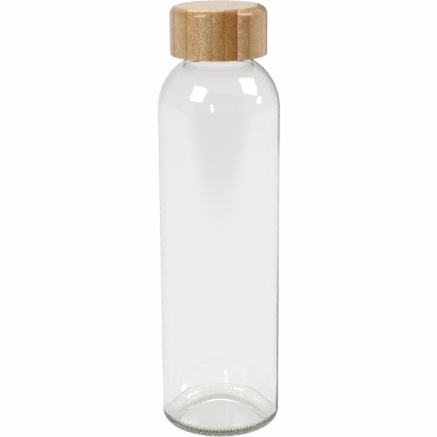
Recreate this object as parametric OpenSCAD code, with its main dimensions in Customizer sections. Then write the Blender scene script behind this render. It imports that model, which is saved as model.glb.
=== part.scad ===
// Glass water bottle with a turned bamboo screw lid.
// The bottle stands on the plane z = 0 with its axis on Z. All lengths are millimetres.

/* [Glass body] */
// Outside diameter of the body
body_d = 65; // [62:0.5:72]
// Thickness of the side wall
wall_t = 2.55; // [2.2:0.05:2.7]
// Height at which the straight wall ends and the shoulder starts
shoulder_z = 178.3; // [150:0.1:178.5]
// Outside radius of the round that carries the shoulder inwards
shoulder_r = 29.35; // [29:0.05:29.6]
// Outside radius of the heel, between the wall and the base
heel_r = 6; // [4:0.5:7]
// Thickness of the glass under the flat of the floor
base_t = 4.2; // [4:0.1:6]
// Inside radius of the corner between the floor and the wall
floor_corner_r = 3; // [2.5:0.1:6]
// Radius of the hollow under the base
punt_r = 22.5; // [18:0.5:23]
// Depth of the hollow under the base
punt_h = 0.6; // [0.3:0.1:2]
// Height of the dome in the middle of the floor
floor_dome_h = 0.6; // [0.4:0.1:1.2]

/* [Neck] */
// Outside diameter of the neck
neck_d = 35.1; // [34.8:0.1:35.4]
// Outside radius of the hollow blend between the neck and the shoulder
neck_blend_r = 2; // [1.5:0.1:2.2]
// Height of the sealing rim above the base
rim_z = 224; // [223.5:0.1:224]
// Radius of the two round edges of the rim
rim_edge_r = 0.8; // [0.5:0.1:1]
// Height of the middle of the transfer bead, below the thread
bead_z = 208.6; // [208.4:0.1:208.8]
// Radius of the section of the transfer bead
bead_r = 1.2; // [1:0.05:1.25]

/* [Thread] */
// Rise of the lid in one turn
thread_lead = 4.2; // [4:0.05:4.4]
// Number of turns in each of the two threads
thread_turns = 1.25; // [1:0.05:1.3]
// Height of the middle of the lower end of the glass thread
thread_z = 213.6; // [213.4:0.1:213.8]
// Height of the glass thread above the neck, measured outwards
thread_h = 1.2; // [0.9:0.05:1.25]

/* [Lid] */
// Outside diameter of the lid
lid_d = 51.4; // [50:0.2:54]
// Height of the lower edge of the lid above the base
lid_z = 206.7; // [206.4:0.1:207]
// Height of the lid
lid_h = 25.9; // [25.6:0.1:28]
// Radius of the round top edge
lid_top_r = 4.6; // [2:0.1:6]
// Radius of the round lower edge
lid_foot_r = 0.8; // [0.4:0.1:1.2]
// Width of one bamboo strip
strip_w = 6.45; // [6.3:0.05:7]
// Thickness of the bamboo left over the bore
crown_t = 5.1; // [4.6:0.1:5.1]

/* [Insert and gasket] */
// Outside diameter of the threaded insert
insert_d = 41.4; // [41:0.1:42]
// Thickness of the skirt of the insert
insert_t = 1.5; // [1.3:0.05:1.55]
// Gap for the glue between the insert and the bamboo
glue_gap = 0.1; // [0.05:0.05:0.2]
// Height of the insert thread above its skirt, measured inwards
insert_thread_h = 1.25; // [1:0.05:1.3]
// Thickness of the gasket
gasket_t = 1.95; // [1.8:0.05:1.95]
// Diameter of the hole in the gasket
gasket_hole_d = 28; // [26:0.5:30]
// Gap between the edge of the gasket and the skirt
gasket_gap = 0.3; // [0.2:0.05:0.5]

/* [Hidden] */
strip_count = 9;

$fn = 96;
body_r = body_d / 2;
neck_r = neck_d / 2;
lid_r = lid_d / 2;
lid_top_z = lid_z + lid_h;
insert_r = insert_d / 2;
insert_bore_r = insert_r - insert_t;
bore_r = insert_r + glue_gap;
bore_top_z = lid_top_z - crown_t;
insert_top_z = bore_top_z - glue_gap;
plate_z = rim_z + gasket_t + 0.05;
gasket_r = insert_bore_r - gasket_gap;
cut = 1;

// Helix: one ring of four points every few degrees, faded in and out at its ends.
thread_steps = 36;
thread_fade = 0.08;
thread_bury = 0.6;
thread_root_w = 2.3;
thread_crest_w = 1.1;
insert_root_w = 1.9;
insert_crest_w = 0.9;

function fade(t) = min(1, t / thread_fade, (1 - t) / thread_fade);
function thread_ring(angle, z, inner, inner_w, outer, outer_w) = [
    for (p = [[inner, -inner_w], [outer, -outer_w], [outer, outer_w], [inner, inner_w]])
        [p[0] * cos(angle), p[0] * sin(angle), z + p[1] / 2]
];

// Sphere radius of a cap of height h on a circle of radius r.
function cap_radius(r, h) = (r * r + h * h) / (2 * h);

// A right-hand thread on a surface of radius surface_r. It stands out to surface_r + depth,
// or inwards where depth is negative.
module thread(surface_r, depth, start_z, root_w, crest_w) {
    side = sign(depth);
    back_r = surface_r - side * thread_bury;
    low_tip_r = surface_r - side * thread_bury / 2;
    count = round(thread_steps * thread_turns);
    rings = [
        for (i = [0 : count])
            let (
                t = i / count,
                tip_r = low_tip_r + (surface_r + depth - low_tip_r) * fade(t),
                angle = 360 * thread_turns * t,
                z = start_z + thread_lead * thread_turns * t
            )
            side > 0
                ? thread_ring(angle, z, back_r, root_w, tip_r, crest_w)
                : thread_ring(angle, z, tip_r, crest_w, back_r, root_w)
    ];
    sides = [
        for (i = [0 : count - 1])
            for (j = [0 : 3])
                let (a = 4 * i + j, b = 4 * i + (j + 1) % 4)
                each [[a, b, b + 4], [a, b + 4, a + 4]]
    ];
    ends = [[3, 2, 1, 0], [for (j = [0 : 3]) 4 * count + j]];
    polyhedron([for (ring = rings) each ring], concat(sides, ends));
}

// Half section of the vessel, moved inwards by inset: its outside at 0, its cavity at wall_t.
module vessel_section(inset, bottom_z, corner_r, top_z) {
    r = body_r - inset;
    arc_r = shoulder_r - inset;
    arc_x = body_r - shoulder_r;
    throat_r = neck_r - inset;
    blend_r = neck_blend_r + inset;
    blend_x = throat_r + blend_r;
    blend_z = shoulder_z + sqrt(pow(arc_r + blend_r, 2) - pow(blend_x - arc_x, 2));
    meet = arc_r / (arc_r + blend_r);
    meet_x = arc_x + (blend_x - arc_x) * meet;
    meet_z = shoulder_z + (blend_z - shoulder_z) * meet;

    translate([0, bottom_z])
        square([r - corner_r, corner_r]);
    translate([0, bottom_z + corner_r])
        square([r, shoulder_z - bottom_z - corner_r]);
    translate([r - corner_r, bottom_z + corner_r])
        circle(corner_r);
    intersection() {
        translate([arc_x, shoulder_z])
            circle(arc_r);
        translate([0, shoulder_z - cut])
            square([r, arc_r + 2 * cut]);
    }
    difference() {
        polygon([[0, shoulder_z], [meet_x, meet_z], [blend_x, blend_z], [0, blend_z]]);
        translate([blend_x, blend_z])
            circle(blend_r);
    }
    translate([0, shoulder_z])
        square([throat_r, top_z - shoulder_z]);
}

// What the round edges of the rim take away, on its outside and its inside.
module rim_cut() {
    for (edge = [[neck_r, -1], [neck_r - wall_t, 1]])
        difference() {
            translate([edge[0] + (edge[1] < 0 ? -rim_edge_r : -cut), rim_z - rim_edge_r])
                square([rim_edge_r + cut, rim_edge_r + cut]);
            translate([edge[0] + edge[1] * rim_edge_r, rim_z - rim_edge_r])
                circle(rim_edge_r);
        }
}

// Glass bottle: heel, straight wall, round shoulder, neck with bead, thread and rim.
module bottle() {
    punt_sphere_r = cap_radius(punt_r, punt_h);
    dome_base_r = body_r - wall_t - floor_corner_r;
    dome_sphere_r = cap_radius(dome_base_r, floor_dome_h);
    color([0.86, 0.90, 0.88, 0.45])
        difference() {
            union() {
                rotate_extrude()
                    difference() {
                        vessel_section(0, 0, heel_r, rim_z);
                        rim_cut();
                    }
                rotate_extrude()
                    translate([neck_r, bead_z])
                        circle(bead_r);
                thread(neck_r, thread_h, thread_z, thread_root_w, thread_crest_w);
            }
            difference() {
                rotate_extrude()
                    vessel_section(wall_t, base_t, floor_corner_r, rim_z + cut);
                translate([0, 0, base_t + floor_dome_h - dome_sphere_r])
                    sphere(dome_sphere_r);
            }
            translate([0, 0, punt_h - punt_sphere_r])
                sphere(punt_sphere_r);
        }
}

// Outside of the lid as turned, before its bore is cut.
module lid_blank() {
    side_h = lid_h - lid_top_r - lid_foot_r;
    rotate_extrude()
        translate([0, lid_z]) {
            square([lid_r - lid_foot_r, lid_foot_r]);
            translate([lid_r - lid_foot_r, lid_foot_r])
                circle(lid_foot_r);
            translate([0, lid_foot_r])
                square([lid_r, side_h]);
            translate([lid_r - lid_top_r, lid_foot_r + side_h])
                circle(lid_top_r);
            translate([0, lid_foot_r + side_h])
                square([lid_r - lid_top_r, lid_top_r]);
        }
}

// One strip of the glued bamboo block, counted from -X. The two outer ones are what is left
// of a strip after turning.
module bamboo_strip(i) {
    middle = (strip_count + 1) / 2;
    left_x = (i - middle - 0.5) * strip_w;
    tint = i % 2 == 0 ? [0.76, 0.62, 0.42] : [0.84, 0.72, 0.52];
    color(tint)
        intersection() {
            difference() {
                lid_blank();
                translate([0, 0, lid_z - cut])
                    cylinder(h = bore_top_z - lid_z + cut, r = bore_r);
            }
            translate([left_x, -lid_d, lid_z - cut])
                cube([strip_w, 2 * lid_d, lid_h + 2 * cut]);
        }
}

// Plastic insert glued into the bore, with the female thread.
module lid_insert() {
    color([0.95, 0.95, 0.93]) {
        difference() {
            translate([0, 0, lid_z])
                cylinder(h = insert_top_z - lid_z, r = insert_r);
            translate([0, 0, lid_z - cut])
                cylinder(h = plate_z - lid_z + cut, r = insert_bore_r);
        }
        thread(
            insert_bore_r,
            -insert_thread_h,
            thread_z - thread_lead / 2,
            insert_root_w,
            insert_crest_w
        );
    }
}

// Flat silicone ring between the rim and the insert.
module lid_gasket() {
    color([0.90, 0.91, 0.90, 0.85])
        translate([0, 0, plate_z - gasket_t])
            difference() {
                cylinder(h = gasket_t, r = gasket_r);
                translate([0, 0, -cut])
                    cylinder(h = gasket_t + 2 * cut, d = gasket_hole_d);
            }
}

bottle();
lid_insert();
lid_gasket();
for (i = [1 : strip_count])
    bamboo_strip(i);
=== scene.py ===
"""Looks of the glass water bottle with its bamboo screw lid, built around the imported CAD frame.

The bottle stands on z = 0 with its axis on Z, and -Y faces the camera. All lengths are metres.
Profiles are lists of (r, z) points, which are revolved round Z.
"""

import math

import bmesh
import bpy
from mathutils import Matrix, Vector


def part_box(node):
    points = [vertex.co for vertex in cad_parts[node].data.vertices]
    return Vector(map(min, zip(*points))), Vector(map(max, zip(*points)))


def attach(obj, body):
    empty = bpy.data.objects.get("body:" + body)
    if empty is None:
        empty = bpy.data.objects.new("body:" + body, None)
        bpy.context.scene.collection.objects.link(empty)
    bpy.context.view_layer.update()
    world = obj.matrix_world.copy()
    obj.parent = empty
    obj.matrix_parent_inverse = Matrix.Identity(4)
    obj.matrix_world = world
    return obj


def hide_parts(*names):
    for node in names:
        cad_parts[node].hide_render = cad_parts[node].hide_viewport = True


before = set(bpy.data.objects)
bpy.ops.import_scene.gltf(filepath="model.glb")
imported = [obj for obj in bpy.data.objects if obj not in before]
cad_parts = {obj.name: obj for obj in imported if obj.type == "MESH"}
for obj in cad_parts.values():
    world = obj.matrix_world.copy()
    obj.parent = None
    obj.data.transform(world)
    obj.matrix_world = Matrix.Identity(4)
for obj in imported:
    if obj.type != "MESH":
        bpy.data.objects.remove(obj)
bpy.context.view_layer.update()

MM = 0.001
TAU = 2 * math.pi

# ---------------------------------------------------------------- dimensions from the frame

bottle_low, bottle_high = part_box("bottle")
insert_low, insert_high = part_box("lid_insert")
gasket_low, gasket_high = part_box("lid_gasket")
STRIPS = sorted(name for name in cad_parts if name.startswith("bamboo_strip_"))
strip_boxes = {name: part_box(name) for name in STRIPS}

BODY_R = (bottle_high[0] - bottle_low[0]) / 2
RIM_Z = bottle_high[2]
LID_Z = min(low[2] for low, high in strip_boxes.values())
LID_TOP_Z = max(high[2] for low, high in strip_boxes.values())
LID_R = (max(high[1] for low, high in strip_boxes.values())
         - min(low[1] for low, high in strip_boxes.values())) / 2
INSERT_R = (insert_high[0] - insert_low[0]) / 2
INSERT_TOP_Z = insert_high[2]
GASKET_R = (gasket_high[0] - gasket_low[0]) / 2
GASKET_Z, PLATE_Z = gasket_low[2], gasket_high[2]

# What the frame's boxes don't give, first for the glass: wall, shoulder, heel, base and the hollow under it.
WALL_T = 2.55 * MM
SHOULDER_Z, SHOULDER_R = 178.3 * MM, 29.35 * MM
HEEL_R = 6 * MM
FOOT_R = BODY_R - HEEL_R
BASE_T, DOME_H, CORNER_R = 4.2 * MM, 0.6 * MM, 3 * MM
PUNT_R, PUNT_H, PUNT_STEP = 22.5 * MM, 0.6 * MM, 0.25 * MM

# Neck: its radius, its bend into the shoulder, the round of the rim, the transfer bead and the thread.
NECK_R, BLEND_R, RIM_EDGE_R = 17.55 * MM, 2 * MM, 0.8 * MM
BEAD_Z, BEAD_R = 208.6 * MM, 1.2 * MM
LEAD, THREAD_TURNS, THREAD_FADE = 4.2 * MM, 1.25, 0.08
THREAD_Z, THREAD_H, THREAD_HALF_W = 213.6 * MM, 1.2 * MM, 1.35 * MM

# Lid: bore and thread of the insert, hole of the gasket, turned edges and bore of the bamboo.
INSERT_BORE_R = INSERT_R - 1.5 * MM
INSERT_THREAD_H, INSERT_THREAD_HALF_W = 1.2 * MM, 1 * MM
GASKET_HOLE_R = 14 * MM
LID_TOP_R, LID_FOOT_R = 4.6 * MM, 0.8 * MM
BORE_R = INSERT_R + 0.1 * MM
BORE_TOP_Z = INSERT_TOP_Z + 0.1 * MM

# Knurls: staggered rows of pits round the heel, up to the mould seam. KNURL_START is a length of skin,
# counted from the edge of the hollow under the base.
KNURLS, KNURL_ROWS = 108, 5
KNURL_START, KNURL_L, KNURL_DEPTH = 5.9 * MM, 1.75 * MM, 0.15 * MM
SEAM_Z, SEAM_W, SEAM_DEPTH = 7.4 * MM, 0.25 * MM, 0.15 * MM

# Points round each ring.
COLUMNS = 216
FINE_COLUMNS = 4 * COLUMNS
LID_COLUMNS = 240
FITTING_COLUMNS = 120


# ---------------------------------------------------------------- profiles

def arc(centre, radius, start_deg, end_deg, count):
    """Points on a round, both ends included."""
    points = []
    for i in range(count + 1):
        angle = math.radians(start_deg + (end_deg - start_deg) * i / count)
        points.append((centre[0] + radius * math.cos(angle), centre[1] + radius * math.sin(angle)))
    return points


def line(start, end, count):
    """Points between start and end, both ends left out."""
    return [(start[0] + (end[0] - start[0]) * i / count, start[1] + (end[1] - start[1]) * i / count)
            for i in range(1, count)]


def dome(radius, base_z, height, count):
    """Points of a shallow cap, from its rim to the axis."""
    sphere = (radius ** 2 + height ** 2) / (2 * height)
    spread = math.degrees(math.asin(radius / sphere))
    points = arc((0, base_z + height - sphere), sphere, 90 - spread, 90, count)
    return points[:-1] + [(0, base_z + height)]


def vessel_shoulder(inset):
    """Shoulder and neck blend of the vessel at this inset, from the wall upwards."""
    arc_r = SHOULDER_R - inset
    arc_x = BODY_R - SHOULDER_R
    blend_r = BLEND_R + inset
    blend_x = NECK_R - inset + blend_r
    blend_z = SHOULDER_Z + math.sqrt((arc_r + blend_r) ** 2 - (blend_x - arc_x) ** 2)
    meet_deg = math.degrees(math.atan2(blend_z - SHOULDER_Z, blend_x - arc_x))
    shoulder = arc((arc_x, SHOULDER_Z), arc_r, 0, meet_deg, 26)
    return shoulder + arc((blend_x, blend_z), blend_r, meet_deg + 180, 180, 8)[1:]


# ---------------------------------------------------------------- mesh helpers

def make_object(name, bm, smooth_deg=30):
    """A smooth-shaded object from a bmesh, with creases sharper than smooth_deg kept."""
    bmesh.ops.recalc_face_normals(bm, faces=bm.faces)
    mesh = bpy.data.meshes.new(name)
    bm.to_mesh(mesh)
    bm.free()
    for polygon in mesh.polygons:
        polygon.use_smooth = True
    mesh.set_sharp_from_angle(angle=math.radians(smooth_deg))
    obj = bpy.data.objects.new(name, mesh)
    bpy.context.scene.collection.objects.link(obj)
    return obj


def ring(bm, point, columns, shape=None):
    """A ring of vertices, or one vertex for a point on the axis."""
    if point[0] < 1e-7:
        return [bm.verts.new((0, 0, point[1]))]
    vertices = []
    for c in range(columns):
        angle = TAU * c / columns
        r, z = shape(point, angle) if shape else point
        vertices.append(bm.verts.new((r * math.cos(angle), r * math.sin(angle), z)))
    return vertices


def bridge(bm, one, other):
    """Faces between two rings. One may have a whole multiple of the other's points."""
    if len(one) == len(other) == 1:
        return
    fine, coarse = (one, other) if len(one) >= len(other) else (other, one)
    share = len(fine) // len(coarse)
    for c, corner in enumerate(coarse):
        next_corner = coarse[(c + 1) % len(coarse)]
        run = [fine[(c * share + i) % len(fine)] for i in range(share + 1)]
        if share == 1:
            bm.faces.new((corner, next_corner, run[1], run[0]))
            continue
        middle = share if len(coarse) == 1 else share // 2
        for i in range(share):
            bm.faces.new((run[i], run[i + 1], corner if i < middle else next_corner))
        if len(coarse) > 1:
            bm.faces.new((corner, next_corner, run[middle]))


def revolve(profile, columns=COLUMNS, shape=None, closed=False):
    """Revolves a profile. columns is a number, or a function of the point."""
    bm = bmesh.new()
    rings = [ring(bm, point, columns(point) if callable(columns) else columns, shape) for point in profile]
    for low, high in zip(rings, rings[1:] + rings[:1] if closed else rings[1:]):
        bridge(bm, low, high)
    return bm


def thread_height(angle, z, start_z, half_w):
    """Height of a rounded thread at this place, from 0 to 1. It fades out at both ends."""
    best = 0
    for turn in range(int(THREAD_TURNS) + 1):
        t = angle / TAU + turn
        if t > THREAD_TURNS:
            continue
        ends = min(1, t / THREAD_FADE, (THREAD_TURNS - t) / THREAD_FADE)
        off = abs(z - start_z - LEAD * t) / half_w
        if off < 1:
            best = max(best, ends * (1 - off ** 3) ** 2)
    return best


# ---------------------------------------------------------------- glass bottle

def bottle_profile():
    """Half section of the glass: out under the base, up the outside, down the inside."""
    foot = (FOOT_R, 0)
    under = dome(PUNT_R - 2 * PUNT_STEP, PUNT_STEP, PUNT_H - PUNT_STEP, 14)[::-1] + [(PUNT_R, 0)]
    under += line(under[-1], foot, 12)
    outside = arc((foot[0], HEEL_R), HEEL_R, -90, 0, 38)
    outside += line(outside[-1], (BODY_R, SEAM_Z - SEAM_W), 4)
    outside += [(BODY_R, SEAM_Z - SEAM_W), (BODY_R - SEAM_DEPTH, SEAM_Z), (BODY_R, SEAM_Z + SEAM_W)]
    outside += line(outside[-1], (BODY_R, SHOULDER_Z), 8)
    outside += vessel_shoulder(0)
    neck_top = (NECK_R, RIM_Z - RIM_EDGE_R)
    outside += line(outside[-1], neck_top, 100)
    outside += arc((NECK_R - RIM_EDGE_R, neck_top[1]), RIM_EDGE_R, 0, 90, 6)
    throat_r = NECK_R - WALL_T
    inside = arc((throat_r + RIM_EDGE_R, neck_top[1]), RIM_EDGE_R, 90, 180, 6)
    upper = vessel_shoulder(WALL_T)[::-1]
    inside += line(inside[-1], upper[0], 4) + upper
    corner = (BODY_R - WALL_T - CORNER_R, BASE_T + CORNER_R)
    inside += line(upper[-1], (BODY_R - WALL_T, corner[1]), 8)
    inside += arc(corner, CORNER_R, 0, -90, 14)
    return under + outside + inside + dome(corner[0], BASE_T, DOME_H, 16)[1:]


def knurl_path(r, z):
    """Length of skin from the edge of the hollow to this point of the outside. None away from the heel."""
    if z < 0.01 * MM and r > FOOT_R - 0.5 * MM:
        return r - PUNT_R
    if r > FOOT_R and z <= HEEL_R and abs(math.hypot(r - FOOT_R, z - HEEL_R) - HEEL_R) < 1e-6:
        return FOOT_R - PUNT_R + HEEL_R * math.atan2(r - FOOT_R, HEEL_R - z)
    if abs(r - BODY_R) < 1e-6 and HEEL_R < z < SEAM_Z - 0.9 * SEAM_W:
        return FOOT_R - PUNT_R + HEEL_R * math.pi / 2 + z - HEEL_R
    return None


def bottle_columns(point):
    """More points round the heel, where the knurls are, than elsewhere."""
    return COLUMNS if knurl_path(*point) is None else FINE_COLUMNS


def bottle_shape(point, angle):
    """Adds the knurls, the transfer bead and the thread."""
    r, z = point
    path = knurl_path(r, z)
    if path is not None:
        tilt = min(max(0, path + PUNT_R - FOOT_R) / HEEL_R, math.pi / 2)
        along = (path - KNURL_START) / KNURL_L
        if not 0 < along < KNURL_ROWS:
            return r, z
        around = 0.5 + 0.5 * math.cos(KNURLS * angle + math.pi * int(along))
        sink = KNURL_DEPTH * around * math.sin(math.pi * (along % 1))
        return r - math.sin(tilt) * sink, z + math.cos(tilt) * sink
    if abs(r - NECK_R) < 1e-6 and z < RIM_Z - RIM_EDGE_R * 0.9:
        bead = BEAD_R ** 2 - (z - BEAD_Z) ** 2
        if bead > 0:
            return r + math.sqrt(bead), z
        return r + THREAD_H * thread_height(angle, z, THREAD_Z, THREAD_HALF_W), z
    return r, z


# ---------------------------------------------------------------- lid

def lid_profile():
    """Closed half section of the turned bamboo block."""
    foot = arc((LID_R - LID_FOOT_R, LID_Z + LID_FOOT_R), LID_FOOT_R, -90, 0, 5)
    top = arc((LID_R - LID_TOP_R, LID_TOP_Z - LID_TOP_R), LID_TOP_R, 0, 90, 14)
    side = line(foot[-1], top[0], 8)
    return foot + side + top + [(0, LID_TOP_Z), (0, BORE_TOP_Z), (BORE_R, BORE_TOP_Z), (BORE_R, LID_Z)]


def make_strip(name):
    """One strip of the block: the turned shape cut at the strip's two glue faces."""
    bm = revolve(lid_profile(), LID_COLUMNS, closed=True)
    low, high = strip_boxes[name]
    for x, side in ((low[0], -1), (high[0], 1)):
        at_turned_side = abs(x) > LID_R - 0.1 * MM
        if at_turned_side:
            continue
        geometry = bm.verts[:] + bm.edges[:] + bm.faces[:]
        cut = bmesh.ops.bisect_plane(bm, geom=geometry, dist=1e-6, plane_co=(x, 0, 0),
                                     plane_no=(side, 0, 0), clear_outer=True)
        edges = [item for item in cut["geom_cut"] if isinstance(item, bmesh.types.BMEdge)]
        bmesh.ops.triangle_fill(bm, edges=edges, use_beauty=True)
    return make_object("lid_" + name, bm, 24)


def make_insert():
    """Threaded plastic insert: round edges below, flat plate on top."""
    edge = 0.4 * MM
    foot_z = LID_Z + edge
    profile = arc((INSERT_BORE_R + edge, foot_z), edge, 180, 270, 4)
    profile += arc((INSERT_R - edge, foot_z), edge, -90, 0, 4)
    profile += arc((INSERT_R - edge, INSERT_TOP_Z - edge), edge, 0, 90, 4)
    profile += [(0, INSERT_TOP_Z), (0, PLATE_Z), (INSERT_BORE_R - edge, PLATE_Z)]
    wall_top = (INSERT_BORE_R, PLATE_Z - edge)
    profile += [wall_top] + line(wall_top, profile[0], 90)

    def shape(point, angle):
        r, z = point
        if abs(r - INSERT_BORE_R) < 1e-7:
            r -= INSERT_THREAD_H * thread_height(angle, z, THREAD_Z - LEAD / 2, INSERT_THREAD_HALF_W)
        return r, z

    return make_object("threaded_insert", revolve(profile, FITTING_COLUMNS, shape, closed=True), 40)


def make_gasket():
    """Silicone ring with round edges and a shallow sealing groove where the rim presses."""
    edge = 0.5 * MM
    groove_r, groove_half_w, groove_depth = NECK_R - WALL_T / 2, 1.4 * MM, 0.15 * MM
    low, high = GASKET_Z, PLATE_Z
    profile = arc((GASKET_HOLE_R + edge, low + edge), edge, 180, 270, 5)
    for i in range(13):
        r = groove_r + groove_half_w * (i / 6 - 1)
        profile.append((r, low + groove_depth * math.sin(math.pi * i / 12)))
    profile += arc((GASKET_R - edge, low + edge), edge, -90, 0, 5)
    profile += arc((GASKET_R - edge, high - edge), edge, 0, 90, 5)
    profile += arc((GASKET_HOLE_R + edge, high - edge), edge, 90, 180, 5)
    return make_object("silicone_gasket", revolve(profile, FITTING_COLUMNS, closed=True), 40)


# ---------------------------------------------------------------- node helpers

class Nodes:
    """Short calls for building the node tree of a material or of the world."""

    def __init__(self, owner):
        owner.use_nodes = True
        self.owner = owner
        self.tree = owner.node_tree
        self.tree.nodes.clear()
        self.output = self.add("OutputWorld" if isinstance(owner, bpy.types.World) else "OutputMaterial")

    def add(self, kind, inputs=None, **settings):
        node = self.tree.nodes.new("ShaderNode" + kind)
        for key, value in settings.items():
            setattr(node, key, value)
        for key, value in (inputs or {}).items():
            self.put(value, node.inputs[key])
        return node

    def put(self, value, socket):
        if isinstance(value, bpy.types.NodeSocket):
            self.tree.links.new(value, socket)
        else:
            socket.default_value = value

    def surface(self, shader):
        """Connects the shader, and returns the material or world."""
        self.put(shader.outputs[0], self.output.inputs["Surface"])
        return self.owner

    def math(self, operation, a, b=0.0, clamp=False):
        return self.add("Math", {0: a, 1: b}, operation=operation, use_clamp=clamp).outputs[0]

    def ramp(self, value, low, high, to_low=0.0, to_high=1.0, smooth=False):
        kind = "SMOOTHSTEP" if smooth else "LINEAR"
        inputs = {"Value": value, "From Min": low, "From Max": high, "To Min": to_low, "To Max": to_high}
        return self.add("MapRange", inputs, interpolation_type=kind).outputs["Result"]

    def mix(self, factor, a, b, blend="MIX"):
        node = self.add("Mix", {0: factor, 6: a, 7: b}, data_type="RGBA", blend_type=blend)
        return node.outputs[2]

    def noise(self, scale, detail):
        """Noise with this many grains a metre along each axis."""
        inputs = {"Vector": self.place(scale), "Scale": 1.0, "Detail": detail}
        return self.add("TexNoise", inputs).outputs[0]

    def place(self, scale=(1, 1, 1), turn=(0, 0, 0)):
        """Object coordinates in metres, scaled and turned."""
        base = self.add("TexCoord").outputs["Object"]
        return self.add("Mapping", {"Vector": base, "Scale": scale, "Rotation": turn}).outputs[0]

    def bump(self, height, distance, strength):
        return self.add("Bump", {"Height": height, "Distance": distance, "Strength": strength}).outputs[0]

    def split(self, vector):
        """The X, Y and Z of a vector."""
        return self.add("SeparateXYZ", {0: vector}).outputs

    def radius(self, x, y):
        """Distance from the Z axis."""
        return self.math("SQRT", self.math("ADD", self.math("MULTIPLY", x, x), self.math("MULTIPLY", y, y)))


def srgb(r, g, b):
    """A colour given as display values from 0 to 255."""
    def linear(v):
        v /= 255
        return v / 12.92 if v <= 0.04045 else ((v + 0.055) / 1.055) ** 2.4
    return (linear(r), linear(g), linear(b), 1)


# ---------------------------------------------------------------- materials

WHITE = (1, 1, 1, 1)

# Glass absorbs GLASS_DENSITY * (1 - GLASS_COLOUR) a metre. The ring that it stands on is a little matt, and
# grey with painted contact shade; so are the pits of the knurls. Only the outer skin lies beyond SKIN_R or
# below SKIN_Z.
GLASS_COLOUR, GLASS_DENSITY = (0.61, 0.58, 0.34, 1), 10.0
RING_CONTACT_SHADE, RING_ROUGH = (0.70, 0.70, 0.65, 1), 0.15
PIT_PAINTED_SHADE, PIT_ROUGH = (0.92, 0.91, 0.83, 1), 0.55
SKIN_R, SKIN_Z = 30.2 * MM, 2 * MM

# Bamboo: how many marks a metre its patterns have along X, Y and Z, and what multiplies the ground colour
# between the dots, on the dots, on the round edge (painted shade) and on the glue lines.
BUNDLE_SCALE, FIBRE_SCALE, CLOUD_SCALE = (780, 24, 780), (1300, 200, 1300), (160, 20, 110)
DOT_PALE, DOT_DARK = (1.44, 1.53, 1.60, 1), (0.56, 0.35, 0.15, 1)
# Painted shade: the round top edge is made darker and more golden, as the light falling there made it look.
EDGE_PAINTED_SHADE = (0.96, 0.89, 0.74, 1)
GLUE_STAIN = (0.35, 0.22, 0.1, 1)
BAMBOO_TOP = srgb(182, 148, 106)
# Pale and rich colour of each strip, from -X to +X, how dark its glue line is, and how strong its dots are.
BAMBOO_TONES = (
    (srgb(186, 152, 118), srgb(170, 114, 60), 0.30, 0.70),
    (srgb(186, 154, 110), srgb(186, 136, 70), 0.50, 0.60),
    (srgb(192, 156, 106), srgb(212, 170, 116), 0.20, 0.85),
    (srgb(214, 188, 144), srgb(196, 146, 90), 0.35, 0.90),
    (srgb(204, 164, 112), srgb(176, 118, 50), 0.30, 1.00),
    (srgb(186, 134, 68), srgb(154, 92, 26), 0.35, 1.00),
    (srgb(210, 174, 128), srgb(162, 112, 50), 0.20, 0.85),
    (srgb(166, 124, 64), srgb(178, 142, 92), 0.15, 0.60),
    (srgb(170, 130, 78), srgb(190, 158, 122), 0.00, 0.45),
)


def knurl_pits(n):
    """From 0 between the knurls to 1 in the middle of each pit, which is matt and has painted shade. It
    follows bottle_shape.
    """
    x, y, z = n.split(n.place())
    r = n.radius(x, y)
    beyond = n.math("MAXIMUM", n.math("SUBTRACT", r, FOOT_R), 0.0)
    below = n.math("MAXIMUM", n.math("SUBTRACT", HEEL_R, z), 0.0)
    path = n.math("MULTIPLY", n.math("ARCTAN2", beyond, below), HEEL_R)
    path = n.math("ADD", path, n.math("SUBTRACT", n.math("MINIMUM", r, FOOT_R), PUNT_R + KNURL_START))
    path = n.math("ADD", path, n.math("MAXIMUM", n.math("SUBTRACT", z, HEEL_R), 0.0))
    along = n.math("DIVIDE", path, KNURL_L)
    row = n.math("FLOOR", along)
    angle = n.math("MULTIPLY", n.math("ARCTAN2", y, x), KNURLS)
    around = n.ramp(n.math("COSINE", n.math("ADD", angle, n.math("MULTIPLY", row, math.pi))), -1, 1)
    across = n.math("SINE", n.math("MULTIPLY", n.math("FRACT", along), math.pi))
    in_rows = n.math("MULTIPLY", n.math("GREATER_THAN", along, 0.0), n.math("LESS_THAN", along, KNURL_ROWS))
    outer = n.math("MAXIMUM", n.math("GREATER_THAN", r, SKIN_R), n.math("LESS_THAN", z, SKIN_Z))
    skin = n.math("MULTIPLY", in_rows, n.math("MULTIPLY", outer, n.math("LESS_THAN", z, SEAM_Z)))
    return n.math("MULTIPLY", skin, n.math("MULTIPLY", around, across))


def foot_ring(n):
    """1 on the matt ring that the bottle stands on, where contact shade is painted, 0 elsewhere."""
    x, y, z = n.split(n.place())
    r = n.radius(x, y)
    inner = n.ramp(r, PUNT_R - 0.2 * MM, PUNT_R + 0.8 * MM, smooth=True)
    outer = n.ramp(r, FOOT_R + 0.4 * HEEL_R, FOOT_R, smooth=True)
    return n.math("MULTIPLY", n.math("MULTIPLY", inner, outer), n.math("LESS_THAN", z, SKIN_Z))


def glass_material():
    n = Nodes(bpy.data.materials.new("clear_glass"))
    pits = n.ramp(knurl_pits(n), 0.3, 0.7, smooth=True)
    ring = foot_ring(n)
    rough = n.math("ADD", n.math("MULTIPLY", pits, PIT_ROUGH), n.math("MULTIPLY", ring, RING_ROUGH))
    # Base colour: clear, greyed with painted contact shade on the standing ring and in the knurl pits.
    shader = n.add("BsdfPrincipled", {
        "Base Color": n.mix(pits, n.mix(ring, WHITE, RING_CONTACT_SHADE), PIT_PAINTED_SHADE),
        "Roughness": rough,
        "IOR": 1.5,
        "Transmission Weight": 1.0,
    })
    volume = n.add("VolumeAbsorption", {"Color": GLASS_COLOUR, "Density": GLASS_DENSITY})
    n.put(volume.outputs[0], n.output.inputs["Volume"])
    return n.surface(shader)


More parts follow.
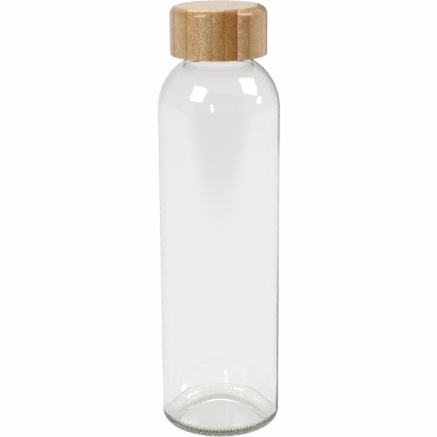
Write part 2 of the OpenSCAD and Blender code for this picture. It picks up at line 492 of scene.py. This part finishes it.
def bamboo_ground(n, across, z, on_top, pale, rich):
    """The colour of a strip without its dots: pale to rich across it, in soft clouds, golden with painted
    shade on the round edge and even on the sanded top."""
    clouds = n.ramp(n.noise(CLOUD_SCALE, 2.0), 0.3, 0.7, -0.3, 0.3)
    depth = n.math("ADD", across, clouds, clamp=True)
    # Painted shade on the round top edge, darker and more golden than the side.
    painted_edge_mask = n.ramp(z, LID_TOP_Z - LID_TOP_R, LID_TOP_Z - 0.6 * LID_TOP_R, smooth=True)
    side = n.mix(painted_edge_mask, n.mix(depth, pale, rich), EDGE_PAINTED_SHADE, "MULTIPLY")
    return n.mix(n.math("MULTIPLY", on_top, 0.85), side, BAMBOO_TOP)


def bamboo_dots(n, on_top, contrast):
    """1 in the middle of each fibre bundle. The bundles run along Y, in a staggered lattice: dots on the
    front of the lid, and faint streaks on its top."""
    lattice = n.place(BUNDLE_SCALE, (0, math.radians(45), 0))
    bundle = n.add("TexVoronoi", {"Vector": lattice, "Scale": 1.0, "Randomness": 0.35}).outputs["Distance"]
    return n.math("MULTIPLY", n.ramp(bundle, 0.05, 0.7, 1, 0), n.ramp(on_top, 0, 1, contrast, 0.15))


def bamboo_material(name, left_x, right_x, pale, rich, glue, contrast):
    """One strip of bamboo, pale at its left face and rich at its right, with a glue line on the right."""
    n = Nodes(bpy.data.materials.new("bamboo_" + name))
    x, _, z = n.split(n.place())
    across = n.ramp(x, left_x, right_x)
    on_top = n.ramp(z, LID_TOP_Z - 0.45 * MM, LID_TOP_Z - 0.1 * MM, smooth=True)
    ground = bamboo_ground(n, across, z, on_top, pale, rich)
    dots = bamboo_dots(n, on_top, contrast)
    fibres = n.noise(FIBRE_SCALE, 3.0)
    tone = n.ramp(fibres, 0.25, 0.75, 0.80, 1.20)
    grey = n.add("CombineColor", {0: tone, 1: tone, 2: tone}).outputs[0]
    glue_line = n.math("MULTIPLY", n.ramp(across, 0.86, 0.96, smooth=True), n.ramp(on_top, 0, 1, glue, 0.0))
    stain = n.mix(glue_line, grey, GLUE_STAIN)
    colour = n.mix(1.0, n.mix(1.0, ground, n.mix(dots, DOT_PALE, DOT_DARK), "MULTIPLY"), stain, "MULTIPLY")
    height = n.math("SUBTRACT", n.math("MULTIPLY", fibres, 0.5), n.math("MULTIPLY", dots, 0.2))
    return n.surface(n.add("BsdfPrincipled", {
        "Base Color": colour,
        "Roughness": n.ramp(fibres, 0.3, 0.7, 0.5, 0.62),
        "Normal": n.bump(height, 0.04 * MM, 0.5),
        "Coat Weight": 1.0,
        "Coat Roughness": 0.12,
    }))


def plastic_material():
    n = Nodes(bpy.data.materials.new("white_plastic"))
    grain = n.noise((900, 900, 900), 2.0)
    return n.surface(n.add("BsdfPrincipled", {
        "Base Color": n.mix(n.ramp(grain, 0.3, 0.7), srgb(232, 232, 228), srgb(240, 240, 237)),
        "Roughness": n.ramp(grain, 0.3, 0.7, 0.36, 0.5),
        "Normal": n.bump(grain, 0.02 * MM, 0.3),
    }))


def silicone_material():
    n = Nodes(bpy.data.materials.new("silicone"))
    grain = n.noise((700, 700, 700), 2.0)
    return n.surface(n.add("BsdfPrincipled", {
        "Base Color": n.mix(n.ramp(grain, 0.3, 0.7), srgb(220, 223, 221), srgb(230, 232, 230)),
        "Roughness": n.ramp(grain, 0.3, 0.7, 0.45, 0.6),
        "Subsurface Weight": 0.4,
        "Subsurface Radius": (1, 1, 1),
        "Subsurface Scale": 2 * MM,
    }))


# ---------------------------------------------------------------- pieces

def add_piece(obj, material, body, node):
    """Gives a piece its material, and puts it in the place of its CAD node."""
    obj.data.materials.append(material)
    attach(obj, body)
    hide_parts(node)


bottle_bm = revolve(bottle_profile(), bottle_columns, bottle_shape)
add_piece(make_object("glass_bottle", bottle_bm, 60), glass_material(), "bottle", "bottle")
for name, tones in zip(STRIPS, BAMBOO_TONES):
    low, high = strip_boxes[name]
    material = bamboo_material(name, low[0], high[0], *tones)
    add_piece(make_strip(name), material, "lid", name)
add_piece(make_insert(), plastic_material(), "lid", "lid_insert")
add_piece(make_gasket(), silicone_material(), "seal", "lid_gasket")


# ---------------------------------------------------------------- stage, lights and camera

# Strength of the white room behind and of the dark room in front, of the floor near and far, and of the
# painted shadow sheet.
ROOM_WHITE, ROOM_DARK = 0.87, 0.12
FLOOR_PALE, FLOOR_DARK = 0.70, 0.02
SHADOW_DARK, SHADOW_PALE = 0.02, 0.6
FLOOR_PAPER = (0.16, 0.16, 0.16, 1)

# Name, azimuth from -Y towards +X, elevation, roll, width and height as seen from the bottle, all in
# degrees, and radiance.
LIGHTS = (
    ("softbox_left", -47, 35, 0, 25, 29, 6),
    ("softbox_right", 83, 40, -37, 27, 29, 6),
    ("softbox_back", 180, 58, 0, 50, 24, 3),
    ("lamp_left", -12.8, 10, 13, 5, 16, 4),
    ("lamp_right", 86.7, 12.6, -55, 7, 12, 4),
)
LIGHT_DISTANCE = 1.5

# The camera looks 15.5 degrees down.
CAMERA_LENS = 113.5
CAMERA_PLACE = (-0.53 * MM, -724.9 * MM, 317.6 * MM)
CAMERA_PITCH, CAMERA_ROLL = math.radians(90 - 15.5), math.radians(-0.354)


def add_stage(name, bm, material):
    obj = make_object(name, bm)
    obj.data.materials.append(material)
    return obj


def make_floor():
    """White paper to the camera, and pale straight through the glass. What the glass mirrors or bends
    is dark in front of the bottle and pale behind it, which draws the grey wedge in its upper half."""
    bm = bmesh.new()
    bmesh.ops.create_grid(bm, x_segments=2, y_segments=2, size=4)
    n = Nodes(bpy.data.materials.new("floor_paper"))
    paper = n.add("BsdfDiffuse", {"Color": FLOOR_PAPER})
    path = n.add("LightPath")
    y = n.split(n.place())[1]
    straight = n.math("LESS_THAN", path.outputs["Glossy Depth"], 0.5)
    seen = n.math("MULTIPLY", n.math("MULTIPLY", path.outputs["Is Transmission Ray"], straight), FLOOR_PALE)
    strength = n.math("MAXIMUM", n.ramp(y, -0.62, -0.34, FLOOR_DARK, FLOOR_PALE, smooth=True), seen)
    glow = n.add("Emission", {"Color": WHITE, "Strength": strength})
    lit = n.add("AddShader", {0: paper.outputs[0], 1: glow.outputs[0]})
    white = n.add("Emission", {"Color": WHITE, "Strength": 1.0})
    share = n.math("MULTIPLY", path.outputs["Is Camera Ray"], 0.93)
    mixed = n.add("MixShader", {0: share, 1: lit.outputs[0], 2: white.outputs[0]})
    add_stage("floor", bm, n.surface(mixed)).location.z = -0.2 * MM


def make_painted_shadow():
    """A grey sheet behind the bottle on the right, lying on the floor and standing up at its far end: a
    painted shadow, in place of the bottle's own shadow on the floor. Only the glass shows it, and it draws
    the right edge of the bottle."""
    bm = bmesh.new()
    rows = []
    for azimuth in range(1, 35, 3):
        angle = math.radians(azimuth)
        spots = ((0.0, 1 * MM), (0.75, 1 * MM), (0.75, 1.5))
        rows.append([bm.verts.new((r * math.sin(angle), r * math.cos(angle), z)) for r, z in spots])
    for one, other in zip(rows, rows[1:]):
        for i in range(len(spots) - 1):
            bm.faces.new((one[i], one[i + 1], other[i + 1], other[i]))
    bmesh.ops.remove_doubles(bm, verts=bm.verts, dist=1e-6)
    n = Nodes(bpy.data.materials.new("painted_shadow_cloth"))
    distance = n.add("VectorMath", {0: n.place()}, operation="LENGTH").outputs["Value"]
    near = n.ramp(distance, 0.15, 0.40, SHADOW_DARK, SHADOW_PALE, smooth=True)
    far = n.ramp(distance, 0.60, 0.80, SHADOW_PALE, SHADOW_DARK, smooth=True)
    # Painted shadow: the sheet glows dark close to the bottle and far away, and pale between.
    glow = n.add("Emission", {"Color": WHITE, "Strength": n.math("MINIMUM", near, far)})
    shadow_sheet = add_stage("shadow_sheet", bm, n.surface(glow))
    shadow_sheet.location.x = BODY_R + 1 * MM
    for rays in ("camera", "diffuse", "transmission", "shadow"):
        setattr(shadow_sheet, "visible_" + rays, False)


def make_light(name, azimuth, elevation, roll, width, height, radiance):
    """A rectangular light aimed at the shoulder of the bottle."""
    a, e = math.radians(azimuth), math.radians(elevation)
    out = Vector((math.sin(a) * math.cos(e), -math.cos(a) * math.cos(e), math.sin(e)))
    light = bpy.data.lights.new(name, "AREA")
    light.shape = "RECTANGLE"
    light.size = 2 * LIGHT_DISTANCE * math.tan(math.radians(width / 2))
    light.size_y = 2 * LIGHT_DISTANCE * math.tan(math.radians(height / 2))
    light.energy = radiance * math.pi * light.size * light.size_y
    obj = bpy.data.objects.new(name, light)
    aim = out.to_track_quat("Z", "Y").to_matrix().to_4x4()
    target = Vector((0, 0, SHOULDER_Z))
    turn = aim @ Matrix.Rotation(math.radians(roll), 4, "Z")
    obj.matrix_world = Matrix.Translation(target + out * LIGHT_DISTANCE) @ turn
    bpy.context.scene.collection.objects.link(obj)


def make_world():
    """White to the camera. What the glass mirrors is white behind the bottle and dark in front of it."""
    world = bpy.data.worlds.new("studio")
    bpy.context.scene.world = world
    n = Nodes(world)
    y = n.split(n.add("TexCoord").outputs["Generated"])[1]
    path = n.add("LightPath")
    seen = n.math("MULTIPLY", path.outputs["Is Transmission Ray"], ROOM_WHITE)
    strength = n.math("MAXIMUM", n.ramp(y, -0.2, 0.5, ROOM_DARK, ROOM_WHITE), seen)
    strength = n.math("MAXIMUM", strength, path.outputs["Is Camera Ray"])
    n.surface(n.add("Background", {"Strength": strength}))


def make_camera():
    camera = bpy.data.cameras.new("camera")
    camera.sensor_width = 36
    camera.lens = CAMERA_LENS
    camera.clip_start = 0.01
    obj = bpy.data.objects.new("camera", camera)
    turn = Matrix.Rotation(CAMERA_PITCH, 4, "X") @ Matrix.Rotation(CAMERA_ROLL, 4, "Z")
    obj.matrix_world = Matrix.Translation(CAMERA_PLACE) @ turn
    bpy.context.scene.collection.objects.link(obj)
    bpy.context.scene.camera = obj


make_floor()
make_painted_shadow()
make_world()
for settings in LIGHTS:
    make_light(*settings)
make_camera()
bpy.context.scene.view_settings.view_transform = "Standard"
